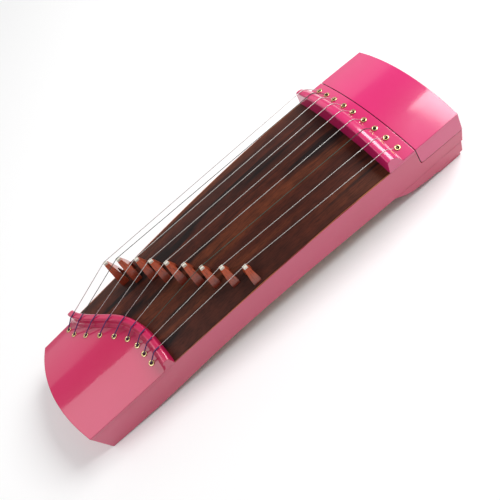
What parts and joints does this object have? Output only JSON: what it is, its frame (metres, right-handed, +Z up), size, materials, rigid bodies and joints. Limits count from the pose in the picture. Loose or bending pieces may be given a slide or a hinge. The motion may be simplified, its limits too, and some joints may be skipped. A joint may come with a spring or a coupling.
{
  "type": "guzheng",
  "caption": "Small plucked zither with an arched soundboard, movable bridges under its strings, an S-shaped tail nut, and a lift-off lid over the tuning pins.",
  "frame": {"origin": "centre of the instrument's outline on the floor", "axes": "+X runs from the tail to the head with its lid, -Y is the player's side, +Z is up"},
  "size_m": [0.5032, 0.1522, 0.0954],
  "materials": {
    "rose_lacquer": "high gloss hot-pink lacquer over wood",
    "rosewood": "satin dark rosewood with black streaks",
    "bottom_wood": "plain pale wood",
    "block_wood": "plain hard wood",
    "bridge_wood": "glossy orange-red wood",
    "bone": "polished bone white",
    "brass": "polished pale brass",
    "steel_string": "bare wound string",
    "green_string": "dark green nylon-covered string",
    "purple_thread": "purple thread",
    "pin_steel": "plated tuning pins"
  },
  "bodies": {
    "frame": {"near_side_board": "rose_lacquer", "far_side_board": "rose_lacquer", "soundboard": "rosewood", "bottom_board": "bottom_wood", "tail_plate": "rose_lacquer", "tail_end_board": "rose_lacquer", "tail_nut": "rose_lacquer", "head_nut": "rose_lacquer", "head_plate": "rose_lacquer", "head_end_board": "rose_lacquer", "pin_block": "block_wood", "near_base_rail": "rose_lacquer", "far_base_rail": "rose_lacquer", "base_end_rail": "rose_lacquer", "feet": "rose_lacquer", "tail_brace": "bottom_wood", "middle_brace": "bottom_wood", "head_brace": "bottom_wood", "box_partition": "bottom_wood", "head_eyelets": "brass", "tail_eyelets": "brass", "string_wraps": "purple_thread", "string_end_beads": "brass", "string_1": "steel_string", "string_2": "green_string", "string_3": "steel_string", "string_4": "steel_string", "string_5": "steel_string", "string_6": "steel_string", "string_7": "green_string", "string_8": "steel_string", "string_9": "steel_string"},
    "lid": {"lid": "rose_lacquer"},
    "bridge_1": {"bridge_1": "bridge_wood", "bone_tip_1": "bone"},
    "tuning_pin_1": {"tuning_pin_1": "pin_steel"},
    "bridge_2": {"bridge_2": "bridge_wood", "bone_tip_2": "bone"},
    "tuning_pin_2": {"tuning_pin_2": "pin_steel"},
    "bridge_3": {"bridge_3": "bridge_wood", "bone_tip_3": "bone"},
    "tuning_pin_3": {"tuning_pin_3": "pin_steel"},
    "bridge_4": {"bridge_4": "bridge_wood", "bone_tip_4": "bone"},
    "tuning_pin_4": {"tuning_pin_4": "pin_steel"},
    "bridge_5": {"bridge_5": "bridge_wood", "bone_tip_5": "bone"},
    "tuning_pin_5": {"tuning_pin_5": "pin_steel"},
    "bridge_6": {"bridge_6": "bridge_wood", "bone_tip_6": "bone"},
    "tuning_pin_6": {"tuning_pin_6": "pin_steel"},
    "bridge_7": {"bridge_7": "bridge_wood", "bone_tip_7": "bone"},
    "tuning_pin_7": {"tuning_pin_7": "pin_steel"},
    "bridge_8": {"bridge_8": "bridge_wood", "bone_tip_8": "bone"},
    "tuning_pin_8": {"tuning_pin_8": "pin_steel"},
    "bridge_9": {"bridge_9": "bridge_wood", "bone_tip_9": "bone"},
    "tuning_pin_9": {"tuning_pin_9": "pin_steel"}
  },
  "joints": [
    {"name": "lid_lift", "type": "slide", "parent": "frame", "child": "lid", "axis": [0, 0, 1], "range_m": [0, 0.08]},
    {"name": "bridge_1_slide", "type": "slide", "parent": "frame", "child": "bridge_1", "axis": [0.9957, 0, 0.0929], "range_m": [-0.012, 0.003], "deforming": ["string_1"]},
    {"name": "bridge_2_slide", "type": "slide", "parent": "frame", "child": "bridge_2", "axis": [0.996, 0, 0.0892], "range_m": [-0.0035, 0.0034], "deforming": ["string_2"]},
    {"name": "bridge_3_slide", "type": "slide", "parent": "frame", "child": "bridge_3", "axis": [0.9964, 0, 0.085], "range_m": [-0.0034, 0.0009], "deforming": ["string_3"]},
    {"name": "bridge_4_slide", "type": "slide", "parent": "frame", "child": "bridge_4", "axis": [0.9966, 0, 0.082], "range_m": [-0.001, 0.0011], "deforming": ["string_4"]},
    {"name": "bridge_5_slide", "type": "slide", "parent": "frame", "child": "bridge_5", "axis": [0.9968, 0, 0.0793], "range_m": [-0.0011, 0.0014], "deforming": ["string_5"]},
    {"name": "bridge_6_slide", "type": "slide", "parent": "frame", "child": "bridge_6", "axis": [0.997, 0, 0.0769], "range_m": [-0.0014, 0.001], "deforming": ["string_6"]},
    {"name": "bridge_7_slide", "type": "slide", "parent": "frame", "child": "bridge_7", "axis": [0.9972, 0, 0.075], "range_m": [-0.0011, 0.0026], "deforming": ["string_7"]},
    {"name": "bridge_8_slide", "type": "slide", "parent": "frame", "child": "bridge_8", "axis": [0.9974, 0, 0.072], "range_m": [-0.0026, 0.0038], "deforming": ["string_8"]},
    {"name": "bridge_9_slide", "type": "slide", "parent": "frame", "child": "bridge_9", "axis": [0.9977, 0, 0.0679], "range_m": [-0.0038, 0.012], "deforming": ["string_9"]},
    {"name": "tuning_pin_1_turn", "type": "hinge", "parent": "frame", "child": "tuning_pin_1", "pos_m": [0.207, 0.06278, 0.04], "axis": [0, 0, 1], "continuous": true},
    {"name": "tuning_pin_2_turn", "type": "hinge", "parent": "frame", "child": "tuning_pin_2", "pos_m": [0.2185, 0.04886, 0.04], "axis": [0, 0, 1], "continuous": true},
    {"name": "tuning_pin_3_turn", "type": "hinge", "parent": "frame", "child": "tuning_pin_3", "pos_m": [0.23, 0.03533, 0.04], "axis": [0, 0, 1], "continuous": true},
    {"name": "tuning_pin_4_turn", "type": "hinge", "parent": "frame", "child": "tuning_pin_4", "pos_m": [0.207, 0.01872, 0.04], "axis": [0, 0, 1], "continuous": true},
    {"name": "tuning_pin_5_turn", "type": "hinge", "parent": "frame", "child": "tuning_pin_5", "pos_m": [0.2185, 0.00394, 0.04], "axis": [0, 0, 1], "continuous": true},
    {"name": "tuning_pin_6_turn", "type": "hinge", "parent": "frame", "child": "tuning_pin_6", "pos_m": [0.23, -0.01286, 0.04], "axis": [0, 0, 1], "continuous": true},
    {"name": "tuning_pin_7_turn", "type": "hinge", "parent": "frame", "child": "tuning_pin_7", "pos_m": [0.207, -0.0288, 0.04], "axis": [0, 0, 1], "continuous": true},
    {"name": "tuning_pin_8_turn", "type": "hinge", "parent": "frame", "child": "tuning_pin_8", "pos_m": [0.2185, -0.04454, 0.04], "axis": [0, 0, 1], "continuous": true},
    {"name": "tuning_pin_9_turn", "type": "hinge", "parent": "frame", "child": "tuning_pin_9", "pos_m": [0.23, -0.06, 0.04], "axis": [0, 0, 1], "continuous": true}
  ]
}
